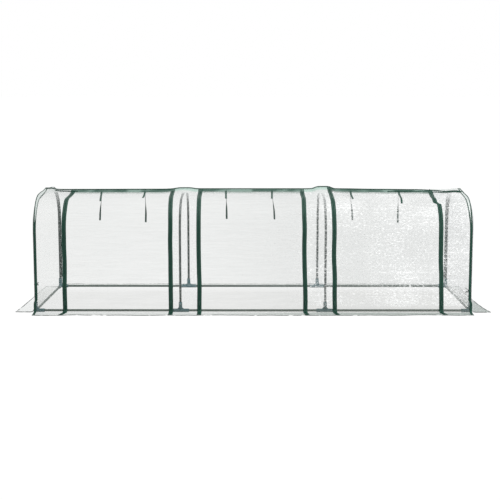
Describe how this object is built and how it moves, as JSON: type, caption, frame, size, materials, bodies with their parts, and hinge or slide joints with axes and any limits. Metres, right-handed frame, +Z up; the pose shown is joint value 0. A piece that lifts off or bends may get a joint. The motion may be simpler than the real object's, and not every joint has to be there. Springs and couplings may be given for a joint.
{
  "type": "polytunnel greenhouse",
  "caption": "Low polytunnel of bent steel hoops plugged into moulded fittings, under a clear film cover with zipped roll-up doors and a skirt that lies on the ground.",
  "frame": {"origin": "on the ground at the middle of the plan", "axes": "+X along the tunnel, -Y towards the zipped doors, +Z up"},
  "size_m": [3.1426, 1.2326, 0.7984],
  "materials": {
    "frame_tube": "satin",
    "fitting": "matte",
    "film": "gloss",
    "tape": "matte"
  },
  "bodies": {
    "root": {"hoop_1_legs": "frame_tube", "hoop_1_arch": "frame_tube", "hoop_2_legs": "frame_tube", "hoop_2_arch": "frame_tube", "hoop_3_legs": "frame_tube", "hoop_3_arch": "frame_tube", "hoop_4_legs": "frame_tube", "hoop_4_arch": "frame_tube", "corner_front_left": "fitting", "tee_front_left": "fitting", "corner_front_right": "fitting", "tee_front_right": "fitting", "corner_back_left": "fitting", "tee_back_left": "fitting", "corner_back_right": "fitting", "tee_back_right": "fitting", "ridge_tee_left": "fitting", "ridge_cross_left": "fitting", "ridge_tee_right": "fitting", "ridge_cross_right": "fitting", "front_rails": "frame_tube", "back_rails": "frame_tube", "end_rails": "frame_tube", "ridge_tubes": "frame_tube", "back_panel": "film", "end_panel_left": "film", "end_binding_left": "tape", "end_panel_right": "film", "end_binding_right": "tape", "front_strip_1": "film", "front_strip_2": "film", "front_strip_3": "film", "front_strip_4": "film", "door_1": "film", "door_1_zips": "tape", "door_1_header": "tape", "door_1_ties": "tape", "door_2": "film", "door_2_zips": "tape", "door_2_header": "tape", "door_2_ties": "tape", "door_3": "film", "door_3_zips": "tape", "door_3_header": "tape", "door_3_ties": "tape"}
  },
  "joints": []
}
